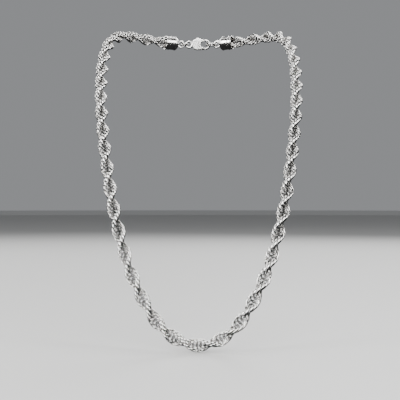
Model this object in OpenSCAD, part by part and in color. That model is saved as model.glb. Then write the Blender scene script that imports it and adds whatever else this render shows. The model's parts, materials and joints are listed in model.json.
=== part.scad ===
/* [Chain] */
// Radius of one ring, measured to the middle of its wire
ring_r = 3; // [2.6:0.1:3.6]
// Thickness of the flattened wire, across the ring
wire_t = 0.66; // [0.4:0.02:0.7]
// Width of the flattened wire, along the ring's axis
wire_w = 0.94; // [0.72:0.02:1]
// Rings in each side section, one full twist of the rope
section_rings = 14; // [10:2:16]
// Side sections on each side, besides the front one
side_sections = 10; // [10:1:10]

/* [End caps] */
// Gap between the rope and the wall of an end cap
cap_gap = 0.3; // [0.25:0.05:0.5]
// Wall of an end cap
cap_wall = 0.6; // [0.4:0.1:1]
// Depth of the cup that holds the rope's end
cap_depth = 7.4; // [6:0.2:9]
// Radius of the eye on an end cap, to the middle of its wire
eye_r = 1.9; // [1.7:0.1:2.4]
// Wire diameter of the eyes
eye_wire = 1.2; // [0.9:0.1:1.3]

/* [Clasp] */
// Radius of the jump ring, to the middle of its wire
jump_r = 1.9; // [1.7:0.1:2.6]
// Wire diameter of the jump ring
jump_wire = 0.9; // [0.7:0.1:1]
// Radius of the tail ring that the claw hooks, to the middle of its wire
tail_r = 3; // [2.8:0.1:3.6]
// Wire diameter of the tail ring
tail_wire = 1.2; // [1:0.1:1.4]
// Distance from the claw's eye to the inside of its nose
claw_reach = 12; // [11.6:0.2:13.6]
// Thickness of the claw's body
claw_t = 3; // [2.8:0.1:3.6]
// Wire diameter of the claw's hook
hook_wire = 1.4; // [1.2:0.1:1.6]
// Inner radius of the hook's nose
nose_r = 1.9; // [1.7:0.1:2.2]
// Radius of the lever's pin
pin_r = 0.4; // [0.3:0.05:0.5]
// Thickness of the lever
lever_t = 1; // [0.8:0.1:1.2]
// Wire diameter of the lever's spring
spring_wire = 0.2; // [0.14:0.02:0.24]

/* [Fits] */
// Play where one ring or eye rests in another
link_play = 0.06; // [0.04:0.01:0.12]
// Radial clearance of the lever on its pin
pin_play = 0.04; // [0.02:0.01:0.08]

/* [Hidden] */
$fn = 48;

// The rings are even on the rope's axis when four pitches take seven quarters of a ring
ring_pitch = ring_r * 4 / 7;
ring_turn = 360 / 14;
front_half = section_rings / 2;
last_section = section_rings * 3 / 2;
half_rings = front_half + (side_sections - 1) * section_rings + last_section;
rope_r = ring_r + wire_t / 2;

// The route of the rope's axis on a neck and chest, right half, from the front drop to the
// middle of the nape: control points of a smooth curve, mirrored for the left half
route = [
  [0, -88, -168], [15, -88, -161.5], [23, -87, -151], [29, -85, -140], [34, -82, -129],
  [38, -77, -116], [42, -71, -102], [45, -63, -88], [48, -54, -72], [51, -42, -55],
  [53, -28, -38], [54, -13, -23], [53, 1, -10], [50, 13, -2], [44, 24, 1],
  [34, 36, 1], [18, 46, 0], [0, 49, 0]];
spans = len(route) - 1;
steps = 24;

function unit(v) = v / norm(v);
function flip(p) = [-p.x, p.y, p.z];
function knot(i) = i < 0 ? flip(route[-i]) : i > spans ? flip(route[2 * spans - i]) : route[i];
function blend(a, b, c, d, t) = (pow(1 - t, 3) * a + (3 * pow(t, 3) - 6 * t * t + 4) * b
  + (-3 * pow(t, 3) + 3 * t * t + 3 * t + 1) * c + pow(t, 3) * d) / 6;
function slope(a, b, c, d, t) = (-pow(1 - t, 2) * a + (3 * t * t - 4 * t) * b
  + (-3 * t * t + 2 * t + 1) * c + t * t * d) / 2;
function span(u) = min(floor(u), spans - 1);
function along(u) = let (i = span(u)) blend(knot(i - 1), knot(i), knot(i + 1), knot(i + 2), u - i);
function heading(u) = let (i = span(u)) slope(knot(i - 1), knot(i), knot(i + 1), knot(i + 2), u - i);

// Lengths along the route, so that rings sit at an even pitch
marks = [for (j = [0:spans * steps]) along(j / steps)];
lengths = [for (j = 0, s = 0; j <= spans * steps;
  j = j + 1, s = j <= spans * steps ? s + norm(marks[j] - marks[j - 1]) : s) [s, j / steps]];

// The clasp's span, from the end wire of one cap's eye to the other's
cap_reach = ring_r + wire_t / 2 + cap_gap + cap_wall + eye_r + eye_wire / 2 - 0.2 + eye_r;
jump_grip = jump_r - (eye_wire + jump_wire) / 2 - link_play;
tail_grip = tail_r - (eye_wire + tail_wire) / 2 - link_play;
claw_grip = 2 * jump_grip + eye_r;
hook_slack = 0.4;
clasp_half = (claw_grip + claw_reach - tail_wire / 2 - hook_slack + tail_r + tail_grip) / 2;
// The caps bridge the route's bend on its outside, which brings the eyes this much nearer
nape_bend = 0.3;
half_length = half_rings * ring_pitch + cap_reach + clasp_half - nape_bend;
drape = half_length / lengths[spans * steps][0];

function place(s) = let (p = drape * along(lookup(abs(s) / drape, lengths))) s < 0 ? flip(p) : p;
function tangent(s) = let (t = unit(heading(lookup(abs(s) / drape, lengths))))
  s < 0 ? [t.x, -t.y, -t.z] : t;
function square_to(u, t) = unit(u - (u * t) * t);

// A normal carried along the rope without twisting, one for each ring from the front out
normals = [for (k = 0, u = [0, -1, 0]; k <= half_rings;
  k = k + 1, u = square_to(u, tangent(k * ring_pitch))) u];

module at_frame(x, y, z, p) {
  multmatrix([[x.x, y.x, z.x, p.x], [x.y, y.y, z.y, p.y], [x.z, y.z, z.z, p.z], [0, 0, 0, 1]])
    children();
}

module hoop(r, wire) {
  rotate_extrude() translate([r, 0]) circle(d = wire, $fn = 24);
}

module flat_wire() {
  translate([0, (wire_w - wire_t) / 2]) circle(d = wire_t, $fn = 24);
  translate([0, (wire_t - wire_w) / 2]) circle(d = wire_t, $fn = 24);
  square([wire_t, wire_w - wire_t], center = true);
}

// One ring of the rope: its plane holds the rope's axis and turns a step from the ring before
module ring(k) {
  t = tangent(k * ring_pitch);
  u = k < 0 ? flip(normals[-k]) : normals[k];
  turn = 90 + k * ring_turn;
  a = cos(turn) * u + sin(turn) * cross(t, u);
  at_frame(a, t, cross(a, t), place(k * ring_pitch))
    rotate_extrude() translate([ring_r, 0]) flat_wire();
}

module chain_front() {
  color("silver") for (k = [-front_half:front_half]) ring(k);
}

module chain_side(side, n) {
  first = front_half + (n - 1) * section_rings + 1;
  count = n == side_sections ? last_section : section_rings;
  color("silver") for (k = [first:first + count - 1]) ring(side * k);
}

// The caps sit square on the rope's last rings
cap_turn = tangent(half_rings * ring_pitch - cap_depth / 4);
cap_x = square_to([0, 0, 1], cap_turn);
cap_floor = ring_r + wire_t / 2 + cap_gap;
cap_seat = place(half_rings * ring_pitch);
eye_at = cap_floor + cap_wall + eye_r + eye_wire / 2 - 0.2;

module cap() {
  color("silver") at_frame(cap_x, cross(cap_turn, cap_x), cap_turn, cap_seat) {
    difference() {
      translate([0, 0, cap_floor - cap_depth])
        cylinder(r = rope_r + cap_gap + cap_wall, h = cap_depth + cap_wall);
      translate([0, 0, cap_floor - cap_depth - 1])
        cylinder(r = rope_r + cap_gap, h = cap_depth + 1);
    }
    translate([0, 0, eye_at]) rotate([90, 0, 0]) hoop(eye_r, eye_wire);
  }
}

module cap_right() { cap(); }
module cap_left() { mirror([1, 0, 0]) cap(); }

// The clasp hangs in a straight line between the end wires of the two eyes
eye_end = cap_seat + (eye_at + eye_r) * cap_turn;
jump_x = -eye_end.x + jump_grip;
claw_x = -eye_end.x + claw_grip;
tail_x = eye_end.x - tail_grip;

module on_clasp(x) {
  translate([x, eye_end.y, eye_end.z]) children();
}

module jump_ring() {
  color("silver") on_clasp(jump_x) hoop(jump_r, jump_wire);
}

module tail_ring() {
  color("silver") on_clasp(tail_x) hoop(tail_r, tail_wire);
}

// The claw lies in an upright plane: its length along X, its thickness along Y
heel_r = nose_r + hook_wire;
heel_x = eye_r + eye_wire / 2 + heel_r - 0.6;
nose_x = claw_reach - nose_r;
arm_z = nose_r + hook_wire / 2;
pin_x = heel_x + 0.7;
pin_z = 0.8;
throat_x = pin_x + nose_r + 1.3;
nose_over = 8;
tip_gap = 0.5;
slot_t = lever_t + 5 * spring_wire;
lever_y = slot_t / 2 - 0.08 - lever_t / 2;
tab_r = 0.8;

module plate(t) {
  rotate([90, 0, 0]) linear_extrude(t, center = true) children();
}

module claw_body() {
  color("silver") on_clasp(claw_x) {
    rotate([90, 0, 0]) hoop(eye_r, eye_wire);
    difference() {
      plate(claw_t) {
        translate([heel_x, 0]) circle(heel_r);
        translate([heel_x + 1.6, 0]) circle(heel_r);
      }
      plate(slot_t) translate([pin_x - 2.4, -0.9]) square([heel_r + 5, heel_r + 2]);
      plate(claw_t + 1) {
        translate([throat_x, 0]) circle(nose_r);
        translate([throat_x, -nose_r]) square([heel_r, 2 * heel_r]);
      }
      translate([pin_x, 0, pin_z]) rotate([90, 0, 0]) cylinder(r = pin_r, h = claw_t + 1, center = true);
    }
    translate([heel_x, 0, -arm_z]) rotate([0, 90, 0]) cylinder(d = hook_wire, h = nose_x - heel_x);
    translate([nose_x, 0, 0]) rotate([90, 0, 0]) rotate([0, 0, -90])
      rotate_extrude(angle = 180 + nose_over) translate([arm_z, 0]) circle(d = hook_wire, $fn = 24);
  }
}

// The lever turns on the pin inside the body's slot and shuts the claw against its nose
module claw_lever() {
  lever_end = nose_x - arm_z * sin(nose_over) - hook_wire / 2 * sin(nose_over) - tip_gap;
  color("silver") on_clasp(claw_x) {
    translate([0, lever_y, 0]) plate(lever_t) difference() {
      union() {
        translate([pin_x, pin_z]) circle(1.2);
        translate([pin_x - 1.2, pin_z]) square([2.4, arm_z - pin_z]);
        translate([pin_x - 1.2, arm_z - 0.5]) square([1.6, tab_r + 0.5]);
        translate([pin_x - 1.2 + tab_r, arm_z + tab_r]) circle(tab_r);
      }
      translate([pin_x, pin_z]) circle(pin_r + pin_play);
    }
    translate([pin_x, 0, arm_z]) rotate([0, 90, 0]) cylinder(d = hook_wire - 0.2, h = lever_end - pin_x);
  }
}

module lever_pin() {
  color("gainsboro") on_clasp(claw_x) translate([pin_x, 0, pin_z]) rotate([90, 0, 0])
    cylinder(r = pin_r, h = claw_t, center = true);
}

// The torsion spring is wound round the pin beside the lever
spring_r = pin_r + spring_wire / 2 + 0.1;
spring_y = -slot_t / 2 + spring_wire;

module lever_spring() {
  color("gray") on_clasp(claw_x) translate([pin_x, spring_y, pin_z]) rotate([-90, 0, 0])
    for (i = [0:2]) translate([0, 0, i * (spring_wire + 0.02)]) hoop(spring_r, spring_wire);
}

chain_front();
chain_side(-1, 1);  // chain_left_1
chain_side(-1, 2);  // chain_left_2
chain_side(-1, 3);  // chain_left_3
chain_side(-1, 4);  // chain_left_4
chain_side(-1, 5);  // chain_left_5
chain_side(-1, 6);  // chain_left_6
chain_side(-1, 7);  // chain_left_7
chain_side(-1, 8);  // chain_left_8
chain_side(-1, 9);  // chain_left_9
chain_side(-1, 10);  // chain_left_10
chain_side(1, 1);  // chain_right_1
chain_side(1, 2);  // chain_right_2
chain_side(1, 3);  // chain_right_3
chain_side(1, 4);  // chain_right_4
chain_side(1, 5);  // chain_right_5
chain_side(1, 6);  // chain_right_6
chain_side(1, 7);  // chain_right_7
chain_side(1, 8);  // chain_right_8
chain_side(1, 9);  // chain_right_9
chain_side(1, 10);  // chain_right_10
cap_left();
cap_right();
jump_ring();
claw_body();
claw_lever();
lever_pin();
lever_spring();
tail_ring();
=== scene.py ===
import json
import math
import random

import bmesh
import bpy
import numpy as np
from mathutils import Matrix, Vector


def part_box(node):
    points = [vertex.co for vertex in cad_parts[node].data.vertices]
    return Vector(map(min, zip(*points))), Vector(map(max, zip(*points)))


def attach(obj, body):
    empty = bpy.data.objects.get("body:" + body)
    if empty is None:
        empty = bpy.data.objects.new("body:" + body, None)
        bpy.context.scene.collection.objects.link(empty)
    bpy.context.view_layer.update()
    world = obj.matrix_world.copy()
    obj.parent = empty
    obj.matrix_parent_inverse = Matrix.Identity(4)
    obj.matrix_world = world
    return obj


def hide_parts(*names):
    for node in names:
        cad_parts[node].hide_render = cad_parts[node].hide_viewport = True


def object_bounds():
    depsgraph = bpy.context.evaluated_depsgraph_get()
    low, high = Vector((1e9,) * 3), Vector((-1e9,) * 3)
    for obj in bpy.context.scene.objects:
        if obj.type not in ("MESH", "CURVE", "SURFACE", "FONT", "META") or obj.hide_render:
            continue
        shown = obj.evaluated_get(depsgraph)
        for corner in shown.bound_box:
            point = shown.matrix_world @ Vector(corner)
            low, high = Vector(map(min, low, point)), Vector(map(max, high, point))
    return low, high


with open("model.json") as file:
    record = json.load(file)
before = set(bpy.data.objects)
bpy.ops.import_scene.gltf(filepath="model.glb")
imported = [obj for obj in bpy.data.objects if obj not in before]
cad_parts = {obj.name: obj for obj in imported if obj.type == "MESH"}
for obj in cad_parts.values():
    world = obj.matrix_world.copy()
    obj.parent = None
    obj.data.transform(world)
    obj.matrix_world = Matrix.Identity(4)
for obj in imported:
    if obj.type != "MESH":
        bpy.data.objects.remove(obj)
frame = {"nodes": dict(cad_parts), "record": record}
cad_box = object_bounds()
scene = bpy.context.scene

# Camera: a long lens, level with the middle of the chest and straight in front of the wearer,
# so that the loop is seen as it hangs.

lens = bpy.data.cameras.new("camera")
lens.lens = 83.2
lens.sensor_width = 36
lens.shift_x = 0.003
lens.clip_start, lens.clip_end = 0.01, 20
camera = bpy.data.objects.new("camera", lens)
camera.location = (0, -0.528, -0.097)
camera.rotation_euler = (math.radians(90), 0, 0)
scene.collection.objects.link(camera)
scene.camera = camera

# Studio: a plain pale floor just under the lowest link, pale air and six soft boxes. Polished
# metal needs something dark to mirror, so the floor stays out of its reflections and a dark
# tent is seen by nothing else.


class Wire:
    """A socket that writes the maths of a shader: sums of wires make their own nodes."""

    def __init__(self, tree, out):
        self.tree, self.out = tree, out

    def node(self, kind, values=None, output=0, **settings):
        made = self.tree.nodes.new(kind)
        for name, value in settings.items():
            setattr(made, name, value)
        for name, value in (values or {}).items():
            if isinstance(value, Wire):
                self.tree.links.new(value.out, made.inputs[name])
            else:
                made.inputs[name].default_value = value
        return Wire(self.tree, made.outputs[output])

    def maths(self, operation, *values):
        return self.node("ShaderNodeMath", dict(enumerate(values)), operation=operation)

    def __add__(self, other):
        return self.maths("ADD", self, other)

    def __mul__(self, other):
        return self.maths("MULTIPLY", self, other)

    def __pow__(self, other):
        return self.maths("POWER", self, other)

    __radd__, __rmul__ = __add__, __mul__

    def object_place(self):
        return self.node("ShaderNodeTexCoord", output="Object")

    def attribute(self, name):
        return self.node("ShaderNodeAttribute", output=2, attribute_name=name)

    def noise(self, scale, detail, place=None):
        values = {"Scale": scale, "Detail": detail}
        if place:
            values["Vector"] = place
        return self.node("ShaderNodeTexNoise", values)

    def blend(self, share, clean, worn):
        """A colour between two: clean where the share is 0, the second colour where it is 1. On
        the turned, drawn and cast steel the second colour is wear; on the rope links it is
        painted crevice shade.
        """
        return self.node(
            "ShaderNodeMix", {0: share, 6: (*clean, 1), 7: (*worn, 1)}, 2, data_type="RGBA")

    def bump(self, height, strength, distance):
        return self.node(
            "ShaderNodeBump", {"Height": height, "Strength": strength, "Distance": distance})


def finish_of(name):
    """A new material, its shader node and a blank wire to write its nodes with."""
    made = bpy.data.materials.new(name)
    made.use_nodes = True
    shader = made.node_tree.nodes["Principled BSDF"]
    return made, shader, Wire(made.node_tree, None)


def feed(shader, **values):
    """Sets a shader's sockets, by name with underscores for spaces, to values or wires."""
    for name, value in values.items():
        socket = shader.inputs[name.replace("_", " ")]
        if isinstance(value, Wire):
            value.tree.links.new(value.out, socket)
        else:
            socket.default_value = value


def staged(name, shape, material):
    """A piece of the studio from its bmesh."""
    data = bpy.data.meshes.new(name)
    shape.to_mesh(data)
    shape.free()
    data.materials.append(material)
    made = bpy.data.objects.new(name, data)
    scene.collection.objects.link(made)
    return made


paint, shader, w = finish_of("floor_paint")
feed(shader, Base_Color=(0.58, 0.58, 0.57, 1), Roughness=0.55 + 0.1 * w.noise(30.0, 3.0))
floor_shape = bmesh.new()
floor_drop = 0.0004
bmesh.ops.create_circle(
    floor_shape, cap_ends=True, segments=96, radius=6,
    matrix=Matrix.Translation((0, 0, cad_box[0].z - floor_drop)),
)
floor = staged("floor", floor_shape, paint)
floor.visible_glossy = False

felt, shader, w = finish_of("tent_felt")
feed(shader, Base_Color=(0.12, 0.12, 0.123, 1), Roughness=0.9)
tent_shape = bmesh.new()
bmesh.ops.create_icosphere(tent_shape, subdivisions=4, radius=4)
tent = staged("tent", tent_shape, felt)
tent.visible_camera = tent.visible_diffuse = tent.visible_shadow = False
tent.visible_transmission = False

air = bpy.data.worlds.new("air")
air.use_nodes = True
air_light = air.node_tree.nodes["Background"].inputs
air_light["Color"].default_value = (0.9, 0.92, 0.95, 1)
air_light["Strength"].default_value = 0.30
scene.world = air

loop_middle = Vector((0, -0.03, -0.08))
for name, spot, width, height, watts in (
    ("soft_box_left", (-0.8, -0.65, 0.4), 0.4, 0.7, 13),
    ("soft_box_right", (0.85, -0.6, 0.35), 0.3, 0.7, 9),
    ("soft_box_front", (-0.1, -0.95, 0.4), 0.6, 0.3, 10),
    ("soft_box_top", (0.0, 0.1, 1.0), 0.6, 0.45, 6),
    ("soft_box_back", (0.35, 0.95, 0.55), 0.7, 0.6, 10),
    ("soft_box_far", (-0.75, 0.85, 0.45), 0.4, 0.6, 6),
):
    box = bpy.data.lights.new(name, "AREA")
    box.shape, box.size, box.size_y, box.energy = "RECTANGLE", width, height, watts
    lamp = bpy.data.objects.new(name, box)
    lamp.location = spot
    aim = loop_middle - Vector(spot)
    lamp.rotation_euler = aim.to_track_quat("-Z", "Y").to_euler()
    lamp.visible_camera = False
    scene.collection.objects.link(lamp)

# Rope links: 309 rings cut from flattened steel wire. Each is laid a fourteenth of a turn on
# from the one before, through the next three, and polished once the rope is closed.

MM = 0.001
wire_thick, wire_wide, link_radius = 0.66 * MM, 0.94 * MM, 3 * MM
link_steps, wire_sides = 12, 6
link_cut = 0.10 * MM / link_radius


def swell(sides):
    """How much larger a polygon starts, so that Subdivision rounds it to the true radius."""
    return 6 / (4 + 2 * math.cos(math.tau / sides))


def all_of(shape):
    return shape.verts[:] + shape.edges[:] + shape.faces[:]


def sawn_ends(shape, sides):
    """The two end faces of an open ring, with their edges creased to stay flat."""
    crease = shape.edges.layers.float.new("crease_edge")
    ends = [face for face in shape.faces if len(face.verts) == sides]
    for end in ends:
        for edge in end.edges:
            edge[crease] = 1
    return ends


link = bmesh.new()
bmesh.ops.create_circle(
    link, cap_ends=True, segments=wire_sides, radius=swell(wire_sides),
    matrix=Matrix.Translation((link_radius * swell(link_steps), 0, 0))
    @ Matrix.Rotation(math.pi / 2, 4, "X")
    @ Matrix.Diagonal((wire_thick / 2, wire_wide / 2, 1, 1)),
)
bmesh.ops.spin(
    link, geom=all_of(link), cent=(0, 0, 0), axis=(0, 0, 1), angle=math.tau - link_cut,
    steps=link_steps,
)
bmesh.ops.recalc_face_normals(link, faces=link.faces[:])
for end in sawn_ends(link, wire_sides):
    inward = end.calc_center_median() * (1 / swell(link_steps) - 1)
    bmesh.ops.translate(link, verts=end.verts[:], vec=inward)
bmesh.ops.rotate(
    link, verts=link.verts[:], cent=(0, 0, 0),
    matrix=Matrix.Rotation(math.radians(90) + link_cut / 2, 3, "Z"),
)
link_data = bpy.data.meshes.new("link")
link.to_mesh(link_data)
link.free()


def copy_of(node):
    """A node's own solid or solids, with the corners of its triangles joined."""
    shape = bmesh.new()
    shape.from_mesh(frame["nodes"][node].data)
    bmesh.ops.remove_doubles(shape, verts=shape.verts[:], dist=1e-7)
    return shape


def solids_of(node):
    """The corner points of each separate solid of a node, in the order they lie."""
    shell = copy_of(node)
    seen, solids = set(), []
    for start in shell.verts:
        if start in seen:
            continue
        seen.add(start)
        grown = [start]
        for vert in grown:
            for edge in vert.link_edges:
                other = edge.other_vert(vert)
                if other not in seen:
                    seen.add(other)
                    grown.append(other)
        solids.append(np.array([vert.co for vert in grown]))
    shell.free()
    return solids


def round_of(points):
    """Centre and axis of a round, flat solid from its points."""
    mean = points.mean(0)
    axes = np.linalg.svd(points - mean, full_matrices=False)[2]
    spread = (points - mean) @ axes.T
    centre = Vector(mean + (spread.max(0) + spread.min(0)) / 2 @ axes)
    return centre, Vector(axes[2] if axes[2][1] > 0 else -axes[2])


bodies = frame["record"]["behaviour"]["bodies"]
body_of = {node: body for body, nodes in bodies.items() for node in nodes}


def finished(name, shape, material, node, rounding=2):
    """A piece from its bmesh: smooth, rounded by Subdivision, riding on its node's body."""
    for face in shape.faces:
        face.smooth = True
    data = bpy.data.meshes.new(name)
    shape.to_mesh(data)
    shape.free()
    data.materials.append(material)
    piece = bpy.data.objects.new(name, data)
    scene.collection.objects.link(piece)
    if rounding:
        skin = piece.modifiers.new("round", "SUBSURF")
        skin.levels = skin.render_levels = rounding
    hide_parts(node)
    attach(piece, body_of[node])


link_steel, shader, w = finish_of("link_steel")
place = w.object_place()
cloud = w.noise(260.0, 3.0, place)
hair = w.noise(9000.0, 2.0, place)
# Painted shade: the base colour is blended towards near-black where the wire runs into the
# middle of the rope, between its neighbours. The same depth mask also raises the roughness
# there, and a little noise adds random tone to the colour.
crevice_shade_and_dullness = w.attribute("depth") ** 1.5
feed(
    shader, Metallic=1.0,
    Base_Color=w.blend(0.9 * crevice_shade_and_dullness + 0.12 * cloud, (0.93, 0.915, 0.89), (0.05, 0.05, 0.048)),
    Roughness=0.07 + 0.10 * cloud + 0.06 * w.attribute("tone") + 0.25 * crevice_shade_and_dullness,
    Normal=w.bump(hair, 0.06, 0.00002),
)

dice = random.Random(7)
for node in sorted(name for name in body_of if name.startswith("chain_")):
    rounds = sorted((round_of(points) for points in solids_of(node)), key=lambda r: r[0].z)
    rope = bmesh.new()
    depth_of, tone_of = (rope.verts.layers.float.new(name) for name in ("depth", "tone"))
    for centre, axis in rounds:
        near = min((c for c, _ in rounds if c != centre), key=lambda c: (c - centre).length)
        ahead = near - centre
        ahead = (ahead - ahead.project(axis)).normalized()
        spot = Matrix((ahead.cross(axis), ahead, axis)).transposed().to_4x4()
        spot.translation = centre
        first = len(rope.verts)
        rope.from_mesh(link_data)
        rope.verts.ensure_lookup_table()
        verts, tone = rope.verts[first:], dice.random()
        for vert in verts:
            # depth: how far towards the middle of the rope the wire runs. It masks the painted
            # crevice shade and the extra roughness.
            vert[depth_of] = max(0, 1 - abs(vert.co.x) / link_radius)
            vert[tone_of] = tone
        bmesh.ops.transform(rope, matrix=spot, verts=verts)
    finished(f"links_{node.removeprefix('chain_')}", rope, link_steel, node)
    if node == "chain_right_10":
        last_link = min(rounds, key=lambda r: abs(r[0].x))[0]

# End caps: two cups turned from steel bar, with a rolled mouth and two turned beads, soldered
# over the rope's ends. Each carries an eye of round wire, brazed to its crown.

eye_radius, eye_wire, eye_out = 1.9 * MM, 1.2 * MM, 6.53 * MM
eye_grip = 1.74 * MM
cup_steps = 32
cup_outline = (
    (0, 3.63), (2.7, 3.63), (3.5, 3.45), (3.63, 2.7), (3.63, 0), (3.63, -3.1), (3.64, -3.5),
    (3.78, -3.77), (4.06, -3.79), (4.25, -3.6), (4.25, -3.3), (4.08, -3.1), (3.96, -3.02),
    (3.95, -2.7), (3.95, -1.9), (3.96, -1.72), (4.24, -1.66), (4.24, -1.2), (3.96, -1.14),
    (3.95, -0.96), (3.95, 0.6), (3.95, 2.1), (3.96, 2.28), (4.24, 2.34), (4.24, 2.8),
    (3.96, 2.9), (3.8, 3.3), (3.3, 3.85), (2.5, 4.15), (1.4, 4.22), (0.85, 4.3), (0, 4.45),
)


def turned(outline, axis, steps):
    """A closed shape turned from an outline of pairs: how far out, and how far along."""
    shape = bmesh.new()
    rim = [shape.verts.new(Vector((out, 0, 0)) + along * axis) for out, along in outline]
    for a, b in zip(rim, rim[1:]):
        shape.edges.new((a, b))
    bmesh.ops.spin(
        shape, geom=shape.verts[:] + shape.edges[:], cent=(0, 0, 0), axis=axis,
        angle=math.tau, steps=steps, use_merge=True,
    )
    bmesh.ops.remove_doubles(shape, verts=shape.verts[:], dist=1e-7)
    bmesh.ops.recalc_face_normals(shape, faces=shape.faces[:])
    return shape


def ring_of_wire(radius, wire, cut=0.0, steps=28, sides=8):
    """A ring of round wire in the flat, closed, or with a hairline cut on its +X side."""
    hoop = bmesh.new()
    bmesh.ops.create_circle(
        hoop, cap_ends=bool(cut), segments=sides, radius=wire / 2 * swell(sides),
        matrix=Matrix.Translation((radius * swell(steps), 0, 0))
        @ Matrix.Rotation(math.pi / 2, 4, "X"),
    )
    bmesh.ops.spin(
        hoop, geom=all_of(hoop), cent=(0, 0, 0), axis=(0, 0, 1),
        angle=math.tau - cut / radius, steps=steps, use_merge=not cut,
    )
    bmesh.ops.recalc_face_normals(hoop, faces=hoop.faces[:])
    if cut:
        sawn_ends(hoop, sides)
    return hoop


def middle(node):
    low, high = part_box(node)
    return (low + high) / 2


turned_steel, shader, w = finish_of("turned_steel")
place = w.object_place()
wander = w.noise(400.0, 2.0, place)
lathe = w.node("ShaderNodeCombineXYZ", {"X": w.attribute("reach") * 14000.0, "Y": wander * 0.4})
lines = w.noise(1.0, 3.0, lathe)
worn = w.noise(150.0, 4.0, place)
feed(
    shader, Metallic=1.0,
    Base_Color=w.blend(0.35 * worn, (0.90, 0.89, 0.87), (0.62, 0.61, 0.6)),
    Roughness=0.10 + 0.10 * lines + 0.06 * worn,
    Normal=w.bump(lines, 0.25, 0.00002),
)

tail_middle = middle("tail_ring")
for side, name in ((1, "right"), (-1, "left")):
    seat = last_link.copy()
    eye_end = tail_middle + Vector((eye_grip, 0, 0))
    seat.x, eye_end.x = side * seat.x, side * eye_end.x
    out = (eye_end - seat).normalized()
    up = (Vector((0, 0, 1)) - out * out.z).normalized()
    stand = Matrix((up, out.cross(up), out)).transposed().to_4x4()
    stand.translation = eye_end - out * (eye_out + eye_radius)
    cup = turned(
        [(r * swell(cup_steps) * MM, z * MM) for r, z in cup_outline], Vector((0, 0, 1)),
        cup_steps)
    eye = ring_of_wire(eye_radius, eye_wire)
    upright = Matrix.Translation((0, 0, eye_out)) @ Matrix.Rotation(math.pi / 2, 4, "X")
    bmesh.ops.transform(eye, matrix=upright, verts=eye.verts[:])
    for label, shape in (("cup", cup), ("eye", eye)):
        reach_of = shape.verts.layers.float.new("reach")
        for vert in shape.verts:
            vert[reach_of] = vert.co.z
        bmesh.ops.transform(shape, matrix=stand, verts=shape.verts[:])
        finished(f"cap_{label}_{name}", shape, turned_steel, f"cap_{name}")

# Jump ring: round steel wire wound on a rod and sawn, closed so that its cut is a hairline.
# It hangs in the left cap's eye and holds the claw's eye.

jump_radius, jump_wire, jump_cut = 1.9 * MM, 0.9 * MM, 0.06 * MM
drawn_steel, shader, w = finish_of("drawn_steel")
place = w.object_place()
stretch = w.node("ShaderNodeMapping", {"Vector": place, "Scale": (300.0, 300.0, 9000.0)})
draw = w.noise(1.0, 2.0, stretch)
worn = w.noise(500.0, 4.0, place)
feed(
    shader, Metallic=1.0,
    Base_Color=w.blend(0.4 * worn, (0.90, 0.89, 0.87), (0.60, 0.59, 0.58)),
    Roughness=0.10 + 0.08 * draw + 0.08 * worn,
    Normal=w.bump(draw, 0.15, 0.00002),
)
jump_loop = ring_of_wire(jump_radius, jump_wire, jump_cut)
hung = Matrix.Translation(middle("jump_ring")) @ Matrix.Rotation(math.radians(70), 4, "Z")
bmesh.ops.transform(jump_loop, matrix=hung, verts=jump_loop.verts[:])
finished("jump_ring", jump_loop, drawn_steel, "jump_ring")

# Tail ring: a closed ring of heavier steel wire in the right cap's eye, welded and polished
# over, which the claw hooks.

tail_radius, tail_wire = 3 * MM, 1.2 * MM
tail_loop = ring_of_wire(tail_radius, tail_wire)
bmesh.ops.translate(tail_loop, verts=tail_loop.verts[:], vec=tail_middle)
finished("tail_ring", tail_loop, drawn_steel, "tail_ring")

# Claw: a steel casting, tumbled until its edges are soft, with an eye, a slot for the lever
# and a hook that closes on the lever's end.


def tumbled(shape, voxel, passes):
    """A casting with soft edges: a shape skinned afresh and rubbed down."""
    data = bpy.data.meshes.new("casting")
    shape.to_mesh(data)
    shape.free()
    rough = bpy.data.objects.new("casting", data)
    scene.collection.objects.link(rough)
    skin = rough.modifiers.new("skin", "REMESH")
    skin.mode, skin.voxel_size = "VOXEL", voxel
    rub = rough.modifiers.new("rub", "SMOOTH")
    rub.factor, rub.iterations = 0.5, passes
    rubbed = bmesh.new()
    rubbed.from_mesh(rough.evaluated_get(bpy.context.evaluated_depsgraph_get()).to_mesh())
    bpy.data.objects.remove(rough)
    return rubbed


cast_steel, shader, w = finish_of("cast_steel")
place = w.object_place()
peel = w.noise(900.0, 2.0, place)
worn = w.noise(350.0, 4.0, place)
feed(
    shader, Metallic=1.0,
    Base_Color=w.blend(0.4 * worn, (0.89, 0.88, 0.86), (0.58, 0.57, 0.56)),
    Roughness=0.12 + 0.14 * worn,
    Normal=w.bump(peel, 0.12, 0.00005),
)
claw = tumbled(copy_of("claw_body"), voxel=0.09 * MM, passes=6)
finished("claw_body", claw, cast_steel, "claw_body", rounding=0)

# Lever: a second casting that turns on the pin in the claw's slot, with a thumb tab crossed
# by three raised ridges for a nail to catch.

ridge_radius, ridge_long, ridge_out = 0.12 * MM, 0.9 * MM, 0.73 * MM
tab_high, tab_middle = 0.6 * MM, 0.8 * MM
lever_cast = copy_of("claw_lever")
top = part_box("claw_lever")[1].z
tab = [vert.co for vert in lever_cast.verts if vert.co.z > top - tab_high]
tab_x, tab_y = ((max(c[i] for c in tab) + min(c[i] for c in tab)) / 2 for i in (0, 1))
for lean in (-50, -15, 20):
    bmesh.ops.create_cone(
        lever_cast, cap_ends=True, segments=12, radius1=ridge_radius, radius2=ridge_radius,
        depth=ridge_long,
        matrix=Matrix.Translation((tab_x, tab_y, top - tab_middle))
        @ Matrix.Rotation(math.radians(lean), 4, "Y")
        @ Matrix.Translation((0, 0, ridge_out)) @ Matrix.Rotation(math.pi / 2, 4, "X"))
lever = tumbled(lever_cast, voxel=0.06 * MM, passes=3)
finished("claw_lever", lever, cast_steel, "claw_lever", rounding=0)

# Pin: a steel rivet through the claw's cheeks, its two ends spun over into low domes. Its
# outline runs from one end, -1, to the other, 1.

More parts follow.
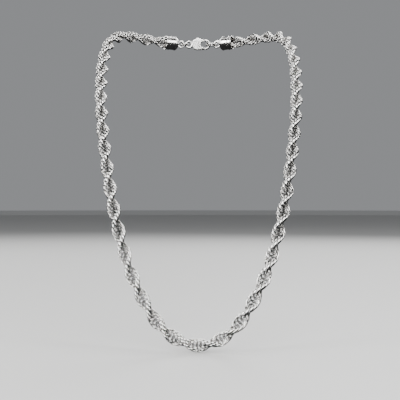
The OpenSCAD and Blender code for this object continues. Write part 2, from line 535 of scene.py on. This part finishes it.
pin_outline = ((0, -1), (0.22, -0.985), (0.4, -0.93), (0.4, -0.8), (0.4, 0), (0.4, 0.8),
               (0.4, 0.93), (0.22, 0.985), (0, 1))
pin_swell = 1.04
brushed_steel, shader, w = finish_of("brushed_steel")
stretch = w.node(
    "ShaderNodeMapping", {"Vector": w.object_place(), "Scale": (12000.0, 600.0, 600.0)})
brush = w.noise(1.0, 2.0, stretch)
feed(
    shader, Metallic=1.0,
    Base_Color=w.blend(brush, (0.72, 0.71, 0.69), (0.55, 0.54, 0.53)),
    Roughness=0.22 + 0.12 * brush,
    Normal=w.bump(brush, 0.2, 0.00001),
)
low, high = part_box("lever_pin")
half_pin = (high.y - low.y) / 2
pin = turned(
    [(r * pin_swell * MM, y * half_pin) for r, y in pin_outline], Vector((0, 1, 0)), 16)
bmesh.ops.translate(pin, verts=pin.verts[:], vec=middle("lever_pin"))
finished("lever_pin", pin, brushed_steel, "lever_pin", rounding=1)

# Spring: hard steel wire wound in three turns round the pin, inside the claw, where it
# pushes the lever shut.

coil_wire, coil_turns, turn_steps = 0.2 * MM, 3, 20
spring_steel, shader, w = finish_of("spring_steel")
drawn = w.noise(3000.0, 2.0, w.object_place())
feed(
    shader, Metallic=1.0,
    Base_Color=w.blend(drawn, (0.52, 0.51, 0.50), (0.38, 0.37, 0.37)),
    Roughness=0.25 + 0.15 * drawn,
)
low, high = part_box("lever_spring")
coil_radius = (high.x - low.x - coil_wire) / 2
coil_step = (high.y - low.y - coil_wire) / coil_turns
coil = bmesh.new()
bmesh.ops.create_circle(
    coil, cap_ends=True, segments=8, radius=coil_wire / 2,
    matrix=Matrix.Translation((coil_radius, 0, 0)),
)
bmesh.ops.spin(
    coil, geom=all_of(coil), cent=(0, 0, 0), axis=(0, 1, 0),
    dvec=(0, coil_step / turn_steps, 0), angle=coil_turns * math.tau,
    steps=coil_turns * turn_steps,
)
bmesh.ops.recalc_face_normals(coil, faces=coil.faces[:])
bmesh.ops.translate(
    coil, verts=coil.verts[:],
    vec=((low.x + high.x) / 2, low.y + coil_wire / 2, (low.z + high.z) / 2))
finished("lever_spring", coil, spring_steel, "lever_spring", rounding=1)
